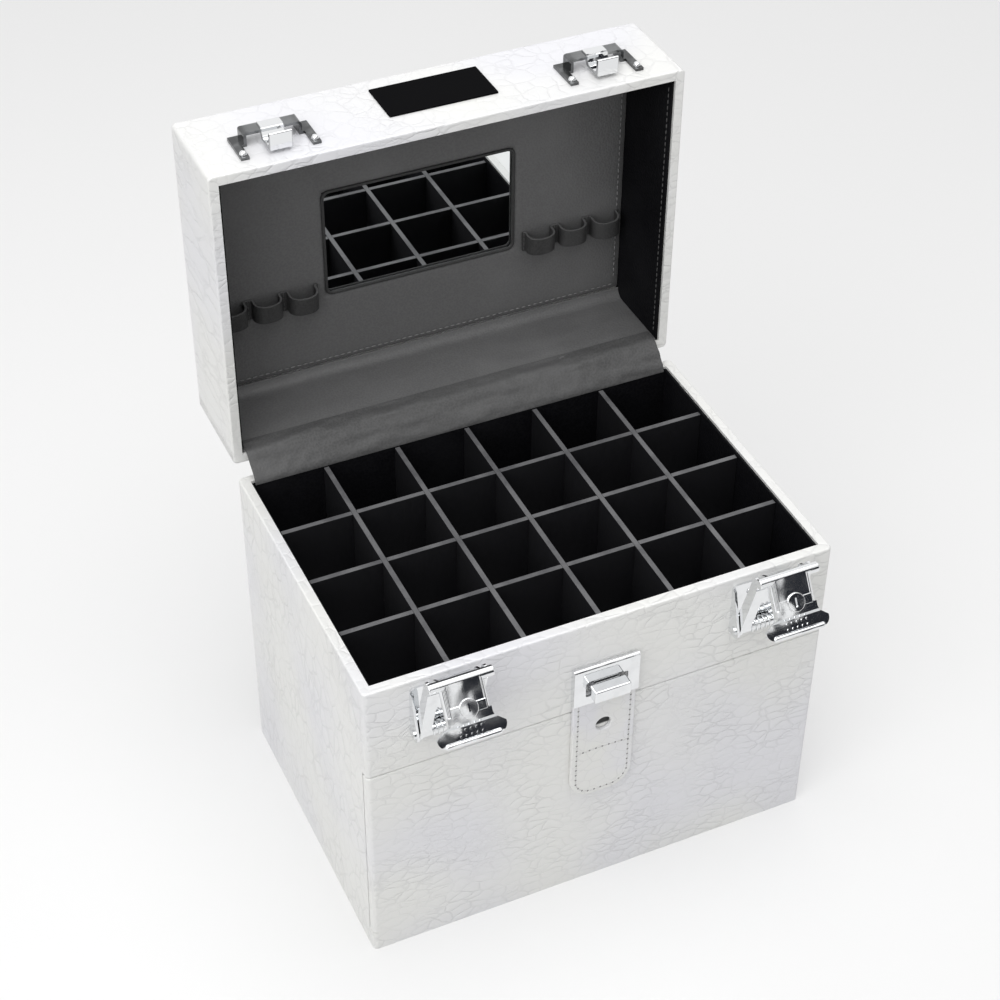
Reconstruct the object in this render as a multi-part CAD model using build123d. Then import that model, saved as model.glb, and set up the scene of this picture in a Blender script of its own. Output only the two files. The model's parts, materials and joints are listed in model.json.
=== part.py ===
from build123d import *
import os
from math import cos, radians, sin

os.makedirs("parts", exist_ok=True)

# Overall sizes of the case, in millimetres
case_width = 240.0
case_depth = 164.0
base_height = 177.0
lid_height = 53.0
rim_gap = 0.5
corner_round = 2.5
edge_round = 1.0

# Boards and linings
wall = 5.0
lining = 1.0
lining_drop = 1.5

# Drop front door
sill_height = 12.0
seam_below_tray = 2.0
door_thickness = 4.2
door_gap = 0.4
door_lining_margin = 6.5
hinge_strip_thickness = 0.8
hinge_strip_reach = 9.0

# Bottle tray and its dividers
tray_depth = 52.0
tray_floor_thickness = 5.0
divider_thickness = 2.5
divider_drop = 3.0
divider_end_gap = 0.3
lap_gap = 0.15
columns = 6
rows = 4

# Lid hinges on the back
hinge_offset = 4.4
hinge_margin = 50.0
leaf_width = 36.0
leaf_length = 28.0
leaf_thickness = 1.4
leaf_rivet_distance = 20.0
knuckle_radius = 3.4
knuckle_gap = 0.3
middle_knuckle = 11.8
hinge_pin_radius = 1.4
stop_wing_thickness = 1.4
stop_wing_reach = 11.0
stop_gap = 0.1
lid_open_angle = 90.0

# Draw latches
latch_margin = 38.0
latch_plate_width = 32.0
latch_plate_height = 31.0
latch_plate_drop = 4.0
sheet = 1.2
plate_round = 2.5
plate_rivet_spacing = 12.8
plate_rivet_margin = 6.0
link_pin_drop = 29.0
link_pin_offset = 4.8
link_pin_radius = 1.5
link_length = 41.3
link_lean = 15.9
link_sheet = 1.4
link_eye_radius = 3.2
wing_width = 5.5
wing_face = 5.5
wing_top_gap = 1.0
barrel_radius = 2.6
side_play = 0.4
lever_pin_radius = 1.1
lever_eye_radius = 2.3
lever_lift = 48.5
bar_offset = 5.0
bar_radius = 2.5
bar_length = 31.0
lever_width = 21.0
lever_waist = 18.5
lever_length = 27.8
tab_width = 33.0
tab_lap = 4.0
tab_step = 2.0
tab_drop = 2.6
tab_rise = 0.8
tab_middle_rise = 0.2
tab_round = 4.0
hem_radius = 1.4
hem_length = 27.0
flange_depth = 3.0
shoulder_round = 2.6
band_length = 17.0
band_width = 4.6
band_height = 0.5
grip_dot_radius = 0.65
grip_dot_height = 0.4
grip_dot_pitch = 2.6
grip_columns = 5
grip_rows = 2
grip_first = 1.7
key_distance = 12.5
key_radius = 3.2
key_ring_radius = 4.6
key_ring_height = 0.8
key_collar_radius = 4.0
key_collar = 1.3
key_slot_width = 1.0
key_slot_length = 4.5
pin_fit = 0.05
head_height = 0.7
head_margin = 0.7

# Keepers on the lid
tongue_width = 11.0
tongue_sheet = 1.4
tongue_room = 0.4
tongue_step = 0.6
catch_gap = 0.3
lip_proud = 10.4
lip_round = 0.6
bar_room = 0.6
bridge_width = 28.0
bridge_depth = 8.5
bridge_proud = 7.0
bridge_round = 2.2
foot_width = 4.0
foot_centre = 17.2
ball_radius = 1.8

# Turn lock and strap
strap_width = 33.0
strap_drop = 59.0
strap_thickness = 2.4
strap_end_round = 12.0
strap_hole_drop = 12.0
strap_hole_radius = 4.0
window_rise = 15.7
window_width = 22.0
window_depth = 9.0
clasp_width = 34.0
clasp_depth = 23.0
clasp_below_window = 9.6
clasp_roll = 1.9
clasp_roll_round = 1.6
boss_length = 18.4
boss_width = 7.4
boss_stand = 1.0
knob_length = 19.0
knob_width = 7.3
knob_thickness = 5.6
knob_round = 0.9
knob_lift = 0.3
knob_shaft_radius = 1.8

# Lid interior
panel_thickness = 3.0
cove_radius = 5.0
mirror_margin = 69.25
mirror_depth = 58.5
mirror_centre_y = -1.0
mirror_glass = 1.6
mirror_lap = 2.0
mirror_fit = 0.2
window_round = 1.5
window_bevel = 0.7
loop_count = 3
loop_pitch = 18.6
loop_radius = 7.9
loop_stand = 10.0
loop_strip = 1.3
loop_height = 12.5
loop_front_y = 19.4
loop_wall_gap = 2.6

# Carry handle on the lid
handle_span = 92.0
handle_reach = 30.0
handle_radius = 4.5
handle_eye_radius = 5.4
handle_eye_width = 10.4
handle_bend = 12.0
handle_stand = 8.0
handle_pin_radius = 2.0
bracket_width = 15.0
bracket_length = 22.0
bracket_sheet = 1.6
bracket_lug_gap = 0.3
bracket_lug_length = 11.0
bracket_rivet_distance = 8.0

# Rivets
rivet_radius = 2.1
rivet_height = 1.0
dome_share = 0.85

# How near a place must be to count as the same
near = 0.01

# Gusset between base and lid
gusset_sheet = 0.8
gusset_reach = 9.0
gusset_air = 0.3
gusset_bend = 3.0
gusset_knee_shift = 0.32

# Places worked out from the sizes above
half_width = case_width / 2
half_depth = case_depth / 2
inner_x = half_width - wall
inner_y = half_depth - wall
lined_x = inner_x - lining
lined_y = inner_y - lining
rim = base_height
lid_rim = base_height + rim_gap
lid_top_height = lid_rim + lid_height
lid_inner_height = lid_top_height - wall
panel_face = lid_inner_height - panel_thickness
hinge_y = half_depth + hinge_offset
hinge_z = base_height + rim_gap / 2
hinge_spacing = case_width - 2 * hinge_margin
latch_spacing = case_width - 2 * latch_margin
mirror_width = case_width - 2 * mirror_margin
loop_inner_x = lined_x - loop_count * loop_pitch - loop_wall_gap
tray_floor_height = base_height - tray_depth
seam_height = tray_floor_height - seam_below_tray
door_bottom = sill_height + door_gap
door_top = seam_height - door_gap
pivot_y = -half_depth - link_pin_offset
pivot_z = base_height - link_pin_drop
latch_plate_top = base_height - latch_plate_drop
latch_plate_bottom = latch_plate_top - latch_plate_height
lever_y = pivot_y
tongue_proud = link_pin_offset - lever_pin_radius - tongue_room
lever_z = pivot_z + link_length
lever_face = lever_y - bar_offset - bar_radius
window_height = seam_height + window_rise
strap_bottom = seam_height - strap_drop
strap_hole_height = seam_height - strap_hole_drop
strap_top = window_height - clasp_below_window + clasp_depth - clasp_roll
sides = (("left", -1), ("right", 1))


def board(x0, x1, y0, y1, z0, z1):
    """A flat board between two opposite corners."""
    return Pos((x0 + x1) / 2, (y0 + y1) / 2, (z0 + z1) / 2) * Box(x1 - x0, y1 - y0, z1 - z0)


def rod(x0, x1, y, z, radius):
    """A round rod along X."""
    return Pos((x0 + x1) / 2, y, z) * Rot(0, 90, 0) * Cylinder(radius, x1 - x0)


def side_plate(points, x0, x1):
    """A plate standing across X, outlined by points given as (y, z)."""
    outline = make_face(Polyline(*points, close=True))
    return extrude(Plane.YZ.offset(x0) * outline, x1 - x0)


def front_plate(outline, y0, y1):
    """An outline drawn in X and Z, as thick as the way from y0 back to y1."""
    return extrude(Plane.XZ.offset(-y1) * outline, y1 - y0)


def opened(part):
    """Swing a piece of the closed lid to the open rest pose."""
    return part.rotate(Axis((0, hinge_y, hinge_z), (1, 0, 0)), -lid_open_angle)


def leaned(part):
    """Lean a piece of the closed latch out with its link."""
    return part.rotate(Axis((0, pivot_y, pivot_z), (1, 0, 0)), link_lean)


def lifted(part):
    """Lift a piece of the closed lever, then lean it out with the link."""
    return leaned(part.rotate(Axis((0, lever_y, lever_z), (1, 0, 0)), -lever_lift))


def outer_corners(part, y):
    """Round the upright outer corners of a board that lies at the given outer face."""
    edges = [e for e in part.edges().filter_by(Axis.Z) if abs(e.center().Y - y) < near]
    return fillet(edges, corner_round)


def soft_rim(faces):
    """Round the outer edges of a front or back board's rims, not the one that meets the side boards."""
    edges = [e for face in faces for e in face.edges() if abs(abs(e.center().Y) - inner_y) > near]
    return fillet(edges, edge_round)


def soft_side(face):
    """Round the outer edge of a side board's rim."""
    return fillet(face.edges().filter_by(Axis.Y).sort_by(lambda e: abs(e.center().X))[-1], edge_round)


def rivet(radius=rivet_radius, height=rivet_height):
    """A low domed rivet head that stands on the XY plane."""
    head = Cylinder(radius, height, align=(Align.CENTER, Align.CENTER, Align.MIN))
    return fillet(head.edges().group_by(Axis.Z)[-1], height * dome_share)


def save(shape, node):
    """Write one node's file."""
    export_step(shape, f"parts/{node}.step")


# Boards of the base
def base_boards():
    for name, way in sides:
        inner, outer = sorted((way * inner_x, way * half_width))
        side = board(inner, outer, -inner_y, inner_y, 0, rim)
        save(soft_side(side.faces().sort_by(Axis.Z)[-1]), f"base_{name}_side")
    back = outer_corners(board(-half_width, half_width, inner_y, half_depth, 0, rim), half_depth)
    save(soft_rim(back.faces().sort_by(Axis.Z)[-1:]), "base_back")
    save(board(-inner_x, inner_x, -inner_y, inner_y, 0, wall), "base_floor")
    rail = board(-half_width, half_width, -half_depth, -inner_y, seam_height, rim)
    rail = outer_corners(rail, -half_depth)
    save(soft_rim(rail.faces().filter_by(Axis.Z)), "front_rail")
    sill = board(-half_width, half_width, -half_depth, -inner_y, 0, sill_height)
    save(outer_corners(sill, -half_depth) - hinge_strip(), "front_sill")
    shelf_bottom = tray_floor_height - tray_floor_thickness
    save(board(-inner_x, inner_x, -inner_y, inner_y, shelf_bottom, tray_floor_height), "tray_floor")


def hinge_strip():
    """The strip of outer leatherette that carries the door on the sill, let in flush."""
    middle = sill_height + door_gap / 2
    half = half_width - corner_round
    return board(-half, half, -half_depth, -half_depth + hinge_strip_thickness,
                 middle - hinge_strip_reach, middle + hinge_strip_reach)


# Dark linings of the tray and of the lower bay
def base_linings():
    top = rim - lining_drop
    floor = tray_floor_height
    tray = [
        board(-inner_x, -lined_x, -inner_y, inner_y, floor, top),
        board(lined_x, inner_x, -inner_y, inner_y, floor, top),
        board(-lined_x, lined_x, -inner_y, -lined_y, floor, top),
        board(-lined_x, lined_x, lined_y, inner_y, floor, top),
    ]
    save(Compound(tray), "tray_linings")
    ceiling = tray_floor_height - tray_floor_thickness
    low = wall + lining
    high = ceiling - lining
    bay = [
        board(-inner_x, inner_x, -inner_y, inner_y, wall, low),
        board(-inner_x, inner_x, -inner_y, inner_y, high, ceiling),
        board(-inner_x, -lined_x, -inner_y, inner_y, low, high),
        board(lined_x, inner_x, -inner_y, inner_y, low, high),
        board(-lined_x, lined_x, lined_y, inner_y, low, high),
    ]
    save(Compound(bay), "bay_linings")


# Half lapped dividers
def dividers():
    column_pitch = 2 * lined_x / columns
    row_pitch = 2 * lined_y / rows
    top = rim - divider_drop
    middle = (tray_floor_height + top) / 2
    half = divider_thickness / 2
    slot = half + lap_gap
    column_x = [-lined_x + column_pitch * i for i in range(1, columns)]
    row_y = [-lined_y + row_pitch * i for i in range(1, rows)]
    long_end = lined_x - divider_end_gap
    cross_end = lined_y - divider_end_gap
    for number, y in enumerate(row_y, 1):
        strip = board(-long_end, long_end, y - half, y + half, tray_floor_height, top)
        for x in column_x:
            strip -= board(x - slot, x + slot, y - slot, y + slot, middle - lap_gap, top)
        save(strip, f"long_divider_{number}")
    for number, x in enumerate(column_x, 1):
        strip = board(x - half, x + half, -cross_end, cross_end, tray_floor_height, top)
        for y in row_y:
            strip -= board(x - slot, x + slot, y - slot, y + slot, tray_floor_height, middle + lap_gap)
        save(strip, f"cross_divider_{number}")


# Drop front door with its strap and window plate
def door():
    panel = board(-half_width, half_width, -half_depth, -half_depth + door_thickness, door_bottom, door_top)
    panel = outer_corners(panel, -half_depth)
    back = -half_depth + door_thickness
    top_edges = [e for e in panel.faces().sort_by(Axis.Z)[-1].edges() if e.center().Y < back - near]
    save(fillet(top_edges, edge_round) - hinge_strip(), "door_panel")
    reach = half_width - door_lining_margin
    ceiling = tray_floor_height - tray_floor_thickness
    save(board(-reach, reach, back, back + lining, door_bottom + lining_drop, ceiling - 2 * lining),
         "door_lining")
    save(hinge_strip(), "door_hinge_strip")


def window(height):
    """The slot that the turn lock's boss and knob pass through."""
    return Pos(0, height) * RectangleRounded(window_width, window_depth, edge_round)


def strap():
    length = strap_top - strap_bottom
    outline = Pos(0, strap_bottom + length / 2) * Rectangle(strap_width, length)
    outline = fillet(outline.vertices().group_by(Axis.Y)[0], strap_end_round)
    outline -= Pos(0, strap_hole_height) * Circle(strap_hole_radius)
    outline -= window(window_height)
    face = -half_depth - strap_thickness
    leather = front_plate(outline, face, -half_depth)
    save(leather, "clasp_strap")
    bottom = window_height - clasp_below_window
    sheet_outline = Pos(0, (bottom + strap_top) / 2) * Rectangle(clasp_width, strap_top - bottom)
    plate = front_plate(sheet_outline - window(window_height), face - sheet, face)
    roll = board(-clasp_width / 2, clasp_width / 2, face - sheet, -half_depth,
                 strap_top, strap_top + clasp_roll)
    roll = fillet(roll.edges().filter_by(Axis.X).group_by(Axis.Z)[-1], clasp_roll_round)
    fold_start = (clasp_width - strap_width) / 2
    for way in (-1, 1):
        x0, x1 = sorted((way * clasp_width / 2, way * (clasp_width / 2 - fold_start)))
        plate += board(x0, x1, face - sheet, -half_depth, bottom, strap_top)
    save(plate + roll, "clasp_plate")


# Turn lock on the rail, with the knob turned level with the window
def turn_lock():
    top = -half_depth - strap_thickness - sheet - boss_stand
    boss = front_plate(Pos(0, window_height) * SlotOverall(boss_length, boss_width), top, -half_depth)
    bore = Pos(0, 0, window_height) * Rot(90, 0, 0) * Cylinder(
        knob_shaft_radius + pin_fit, 2 * half_depth + 2 * wall)
    shaft_end = -half_depth - lining
    shaft_room = board(-boss_length, boss_length, top - lining, shaft_end, window_height - boss_length,
                       window_height + boss_length)
    save(boss - (bore & shaft_room), "lock_boss")
    low = top - knob_lift
    bar = front_plate(Pos(0, window_height) * RectangleRounded(knob_length, knob_width, edge_round),
                      low - knob_thickness, low)
    bar = fillet(bar.faces().sort_by(Axis.Y)[0].edges(), knob_round)
    shaft = Pos(0, (low + shaft_end - knob_lift) / 2, window_height) * Rot(90, 0, 0) * Cylinder(
        knob_shaft_radius, shaft_end - knob_lift - low)
    save(bar + shaft, "turn_knob")


# Draw latch, drawn closed at the middle of the case and then moved to its place
def latch_plate():
    half = latch_plate_width / 2
    height = latch_plate_top - latch_plate_bottom
    outline = RectangleRounded(latch_plate_width, height, plate_round)
    plate = front_plate(Pos(0, latch_plate_bottom + height / 2) * outline, -half_depth - sheet, -half_depth)
    ear_radius = link_eye_radius + head_margin
    reach = pivot_y - ear_radius
    ear_points = (
        (-half_depth - sheet / 2, latch_plate_bottom + plate_round),
        (pivot_y, pivot_z - ear_radius),
        (reach, pivot_z),
        (-half_depth - 2 * sheet, latch_plate_top - plate_round),
        (-half_depth - sheet / 2, latch_plate_top - plate_round),
    )
    for x0 in (-half, half - sheet):
        ear = side_plate(ear_points, x0, x0 + sheet) + rod(x0, x0 + sheet, pivot_y, pivot_z, ear_radius)
        plate += ear
    plate -= rod(-half, half, pivot_y, pivot_z, link_pin_radius + pin_fit)
    return plate


def link_pin():
    half = latch_plate_width / 2
    pin = rod(-half - head_height, half + head_height, pivot_y, pivot_z, link_pin_radius)
    for x0 in (-half - head_height, half):
        pin += rod(x0, x0 + head_height, pivot_y, pivot_z, link_pin_radius + head_margin)
    return pin


def latch_link():
    outer = latch_plate_width / 2 - sheet - side_play
    inner = outer - link_sheet
    half = wing_width / 2
    link = rod(-inner, inner, pivot_y, pivot_z, barrel_radius)
    for way in (-1, 1):
        x0, x1 = sorted((way * inner, way * outer))
        arm = side_plate((
            (pivot_y + half, pivot_z),
            (pivot_y - half, pivot_z),
            (lever_y - lever_eye_radius, lever_z),
            (lever_y + lever_eye_radius, lever_z),
        ), x0, x1)
        arm += rod(x0, x1, pivot_y, pivot_z, link_eye_radius)
        arm += rod(x0, x1, lever_y, lever_z, lever_eye_radius)
        link += arm
        face0, face1 = sorted((way * outer, way * (outer - wing_face)))
        face = board(face0, face1, pivot_y - half, pivot_y - half + link_sheet,
                     pivot_z, lever_z - bar_radius - wing_top_gap)
        inner_edges = [e for e in face.edges().filter_by(Axis.Y) if abs(e.center().X) < outer - wing_face / 2]
        link += fillet(inner_edges, edge_round)
    link -= rod(-outer, outer, pivot_y, pivot_z, link_pin_radius + pin_fit)
    link -= rod(-outer, outer, lever_y, lever_z, lever_pin_radius + pin_fit)
    return link


def lever_pin():
    half = latch_plate_width / 2 - sheet - side_play
    return rod(-half, half, lever_y, lever_z, lever_pin_radius)


def lever_outline():
    """The lever from the front: a straight body, a waist and the flared finger tab."""
    half = lever_width / 2
    wide = tab_width / 2
    bottom = lever_z - lever_length
    waist = lever_z - lever_waist
    flare = (waist + bottom) / 2
    points = (
        (-half, lever_z),
        (half, lever_z),
        (half, waist),
        (wide, flare),
        (wide, bottom),
        (-wide, bottom),
        (-wide, flare),
        (-half, waist),
    )
    outline = make_face(Polyline(*points, close=True))
    outline = fillet(outline.vertices().group_by(Axis.Y)[0], tab_round)
    return fillet([v for v in outline.vertices() if abs(v.Y - waist) < near], tab_round)


def tab_curl(face):
    """The curl of the finger tab, from the foot of its step to the tip, for a face at the given y."""
    top = lever_z - lever_waist - tab_step
    bottom = lever_z - lever_length
    root = face + tab_drop
    return ThreePointArc((root, top), (root - tab_middle_rise, (top + bottom) / 2), (root - tab_rise, bottom))


def tab_profile():
    """The tab from the side: it steps down from the channel's face and curls out a little to its tip."""
    front = tab_curl(lever_face)
    back = tab_curl(lever_face + sheet)
    waist = lever_z - lever_waist
    start = waist + tab_lap
    return make_face([
        Line((lever_face, start), (lever_face, waist)),
        Line((lever_face, waist), front @ 0),
        front,
        Line(front @ 1, back @ 1),
        back,
        Line(back @ 0, (lever_face + sheet, waist)),
        Line((lever_face + sheet, waist), (lever_face + sheet, start)),
        Line((lever_face + sheet, start), (lever_face, start)),
    ])


def lever_channel():
    """The pressed channel below the bar: a face, two flanges and rounded shoulders."""
    half = lever_width / 2
    low = lever_z - lever_waist
    back = lever_face + sheet + flange_depth
    shell = board(-half, half, lever_face, back, low, lever_z)
    shell = fillet(shell.faces().sort_by(Axis.Y)[0].edges().filter_by(Axis.Z), shoulder_round)
    inside = board(-half + sheet, half - sheet, lever_face + sheet, back, low, lever_z)
    inside = fillet(inside.faces().sort_by(Axis.Y)[0].edges().filter_by(Axis.Z), shoulder_round - sheet)
    return shell - inside


def finger_tab():
    """The flared tab below the channel, with its rolled hem."""
    wide = tab_width / 2
    strip = extrude(Plane.YZ.offset(-wide) * tab_profile(), tab_width)
    tab = strip & front_plate(lever_outline(), lever_face - sheet, lever_face + tab_drop + 2 * sheet)
    tip = tab_curl(lever_face) @ 1
    hem = rod(-hem_length / 2, hem_length / 2, tip.X + sheet / 2, tip.Y + sheet / 2, hem_radius)
    return tab + fillet(hem.edges().filter_by(GeomType.CIRCLE), edge_round)


def latch_lever():
    half = lever_width / 2
    bar = rod(-bar_length / 2, bar_length / 2, lever_y - bar_offset, lever_z, bar_radius)
    lever = lever_channel() + finger_tab() + fillet(bar.edges().filter_by(GeomType.CIRCLE), edge_round / 2)
    for way in (-1, 1):
        x0, x1 = sorted((way * half, way * (half - sheet)))
        lever += side_plate((
            (lever_y, lever_z + lever_eye_radius),
            (lever_y - bar_offset, lever_z + lever_eye_radius),
            (lever_y - bar_offset, lever_z - lever_eye_radius),
            (lever_y, lever_z - lever_eye_radius),
        ), x0, x1)
        lever += rod(x0, x1, lever_y, lever_z, lever_eye_radius)
    key_z = lever_z - key_distance
    band = board(-band_length / 2, band_length / 2, lever_face - band_height, lever_face,
                 key_z - band_width / 2, key_z + band_width / 2)
    lever += chamfer(band.faces().sort_by(Axis.Y)[0].edges(), band_height / 2)
    ring = Pos(0, lever_face - key_ring_height / 2, key_z) * Rot(90, 0, 0) * Cylinder(
        key_ring_radius, key_ring_height)
    lever += fillet(ring.faces().sort_by(Axis.Y)[0].edges(), key_ring_height / 2)
    lever -= rod(-half, half, lever_y, lever_z, lever_pin_radius + pin_fit)
    lever -= Pos(0, lever_face, key_z) * Rot(90, 0, 0) * Cylinder(key_radius + pin_fit, tab_width)
    return lever + grip_dots()


def grip_dots():
    """Rows of small studs that stand on the curled face of the finger tab."""
    curl = tab_curl(lever_face)
    dots = []
    for row in range(grip_rows):
        along = (grip_first + row * grip_dot_pitch) / curl.length
        place = curl @ along
        way = curl % along
        for column in range(grip_columns):
            x = (column - (grip_columns - 1) / 2) * grip_dot_pitch
            seat = Plane(origin=(x, place.X, place.Y), x_dir=(1, 0, 0), z_dir=(0, way.Y, -way.X))
            dots.append(seat * Cylinder(grip_dot_radius, 2 * grip_dot_height))
    return dots


def key_plug():
    key_z = lever_z - key_distance
    front = lever_face - key_ring_height
    collar_front = lever_face + sheet + pin_fit
    length = collar_front + key_collar - front
    plug = Pos(0, front + length / 2, key_z) * Rot(90, 0, 0) * Cylinder(key_radius, length)
    plug += Pos(0, collar_front + key_collar / 2, key_z) * Rot(90, 0, 0) * Cylinder(
        key_collar_radius, key_collar)
    slot = board(-key_slot_width / 2, key_slot_width / 2, front, front + sheet,
                 key_z - key_slot_length / 2, key_z + key_slot_length / 2)
    return plug - slot


def latches():
    pins = []
    rivets = []
    for name, way in sides:
        place = Pos(way * latch_spacing / 2, 0, 0)
        save(place * latch_plate(), f"latch_{name}_plate")
        pins.append(place * link_pin())
        save(place * leaned(latch_link()), f"latch_{name}_link")
        save(place * leaned(lever_pin()), f"latch_{name}_lever_pin")
        save(place * lifted(latch_lever()), f"latch_{name}_lever")
        save(place * lifted(key_plug()), f"latch_{name}_key_plug")
        for x in (-1, 1):
            for z in (latch_plate_bottom + plate_rivet_margin, latch_plate_top - plate_rivet_margin):
                head = Pos(x * plate_rivet_spacing / 2, -half_depth - sheet, z) * Rot(90, 0, 0) * rivet()
                rivets.append(place * head)
    save(Compound(pins), "latch_link_pins")
    return rivets


# Keeper on the lid, drawn on the closed lid at the middle of the case
def keeper():
    face = -half_depth
    catch = lever_z - bar_radius - catch_gap
    low = catch - tongue_sheet
    bridge_low = lever_z + bar_offset * sin(radians(lever_lift)) + bar_radius + bar_room
    bridge_high = bridge_low + bridge_depth
    half = bridge_width / 2
    bridge = board(-half, half, face - bridge_proud, face, bridge_low, bridge_high)
    top = bridge.faces().sort_by(Axis.Y)[0]
    bridge = fillet(top.edges().filter_by(Axis.Z) + top.edges().filter_by(Axis.X).sort_by(Axis.Z)[-1:],
                    bridge_round)
    hollow = board(-half + tongue_sheet, half - tongue_sheet, face - bridge_proud + tongue_sheet, face,
                   bridge_low, bridge_high)
    bridge -= hollow
    tongue_half = tongue_width / 2
    floor = face - tongue_proud
    tongue = side_plate((
        (face - lip_proud, catch),
        (face - lip_proud, low),
        (floor + tongue_sheet, low),
        (floor + tongue_sheet, bridge_low),
        (face - bridge_proud + tongue_sheet, bridge_low + 2 * tongue_sheet),
        (face - bridge_proud + tongue_sheet, bridge_high - bridge_round),
        (face - bridge_proud - tongue_step, bridge_high - bridge_round),
        (face - bridge_proud - tongue_step, bridge_low + tongue_sheet),
        (floor, bridge_low - tongue_sheet),
        (floor, catch + tongue_sheet),
        (floor - tongue_sheet, catch),
    ), -tongue_half, tongue_half)
    tip = [e for e in tongue.edges().filter_by(Axis.X) if abs(e.center().Y - face + lip_proud) < near]
    whole = bridge + fillet(tip, lip_round)
    for way in (-1, 1):
        x0, x1 = sorted((way * (half - tongue_sheet), way * (foot_centre + foot_width / 2)))
        foot = board(x0, x1, face - tongue_sheet, face, bridge_low, bridge_high)
        x0, x1 = sorted((way * (foot_centre - foot_width / 2), way * (foot_centre + foot_width / 2)))
        foot += board(x0, x1, face - tongue_sheet, face, low, bridge_high)
        whole += foot
    return whole


def keepers():
    rivets = []
    ball_height = lever_z - bar_radius - catch_gap + ball_radius
    for name, way in sides:
        place = Pos(way * latch_spacing / 2, 0, 0)
        save(opened(place * keeper()), f"keeper_{name}")
        for x in (-foot_centre, foot_centre):
            ball = Pos(x, -half_depth - tongue_sheet, ball_height) * Rot(90, 0, 0) * rivet(
                ball_radius, ball_radius)
            rivets.append(opened(place * ball))
    return rivets


# Stop hinges on the back, drawn closed at the middle of the case
def knuckle(x0, x1):
    return rod(x0, x1, hinge_y, hinge_z, knuckle_radius)


def base_leaf():
    half = leaf_width / 2
    wall_face = half_depth
    neck_low = hinge_z - knuckle_radius - hinge_offset
    leaf = board(-half, half, wall_face, wall_face + leaf_thickness, rim - leaf_length, neck_low)
    inner = middle_knuckle / 2 + knuckle_gap
    for way in (-1, 1):
        x0, x1 = sorted((way * inner, way * half))
        leaf += side_plate((
            (wall_face, neck_low),
            (wall_face + leaf_thickness, neck_low),
            (hinge_y, hinge_z - knuckle_radius),
            (hinge_y, hinge_z),
            (wall_face, hinge_z - rim_gap),
        ), x0, x1) + knuckle(x0, x1)
        w0, w1 = sorted((way * (half - stop_wing_thickness), way * half))
        stop_height = hinge_z + hinge_offset - leaf_thickness - stop_gap
        leaf += side_plate((
            (wall_face, rim - leaf_length),
            (wall_face + leaf_thickness, rim - leaf_length),
            (hinge_y + stop_wing_reach, stop_height - leaf_thickness),
            (hinge_y + stop_wing_reach, stop_height),
            (hinge_y + hinge_offset, stop_height),
            (hinge_y, hinge_z),
            (wall_face, hinge_z - knuckle_radius),
        ), w0, w1)
    return leaf - rod(-half, half, hinge_y, hinge_z, hinge_pin_radius + pin_fit)


def lid_leaf():
    half = leaf_width / 2
    wall_face = half_depth
    neck_high = hinge_z + knuckle_radius + hinge_offset
    leaf = board(-half, half, wall_face, wall_face + leaf_thickness, hinge_z + knuckle_radius - knuckle_gap,
                 rim + leaf_length)
    inner = middle_knuckle / 2
    leaf += side_plate((
        (wall_face, hinge_z + rim_gap),
        (hinge_y, hinge_z),
        (hinge_y, hinge_z + knuckle_radius),
        (wall_face + leaf_thickness, neck_high),
        (wall_face, neck_high),
    ), -inner, inner)
    leaf += knuckle(-inner, inner)
    return leaf - rod(-half, half, hinge_y, hinge_z, hinge_pin_radius + pin_fit)


def hinges():
    half = leaf_width / 2
    pins = []
    base_rivets = []
    lid_rivets = []
    for name, way in sides:
        place = Pos(way * hinge_spacing / 2, 0, 0)
        save(place * base_leaf(), f"hinge_{name}_base_leaf")
        save(opened(place * lid_leaf()), f"hinge_{name}_lid_leaf")
        pin = rod(-half, half, hinge_y, hinge_z, hinge_pin_radius)
        for x0 in (-half - head_height, half):
            pin += rod(x0, x0 + head_height, hinge_y, hinge_z, hinge_pin_radius + head_margin)
        pins.append(place * pin)
        for x in (-half / 2, half / 2):
            for up, heads in ((-1, base_rivets), (1, lid_rivets)):
                z = rim + up * leaf_rivet_distance
                head = place * Pos(x, half_depth + leaf_thickness, z) * Rot(-90, 0, 0) * rivet()
                heads.append(opened(head) if up > 0 else head)
    save(Compound(pins), "hinge_pins")
    return base_rivets, lid_rivets


# Boards and linings of the lid
def lid_boards():
    top = board(-half_width, half_width, -half_depth, half_depth, lid_inner_height, lid_top_height)
    top = fillet(top.edges().filter_by(Axis.Z), corner_round)
    save(opened(fillet(top.faces().sort_by(Axis.Z)[-1].edges(), corner_round)), "lid_top")
    front = board(-half_width, half_width, -half_depth, -inner_y, lid_rim, lid_inner_height)
    front = outer_corners(front, -half_depth)
    save(opened(soft_rim(front.faces().sort_by(Axis.Z)[:1])), "lid_front")
    back = outer_corners(board(-half_width, half_width, inner_y, half_depth, lid_rim, lid_inner_height),
                         half_depth)
    save(opened(soft_rim(back.faces().sort_by(Axis.Z)[:1])), "lid_back")
    for name, way in sides:
        inner, outer = sorted((way * inner_x, way * half_width))
        side = board(inner, outer, -inner_y, inner_y, lid_rim, lid_inner_height)
        save(opened(soft_side(side.faces().sort_by(Axis.Z)[0])), f"lid_{name}_side")


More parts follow.
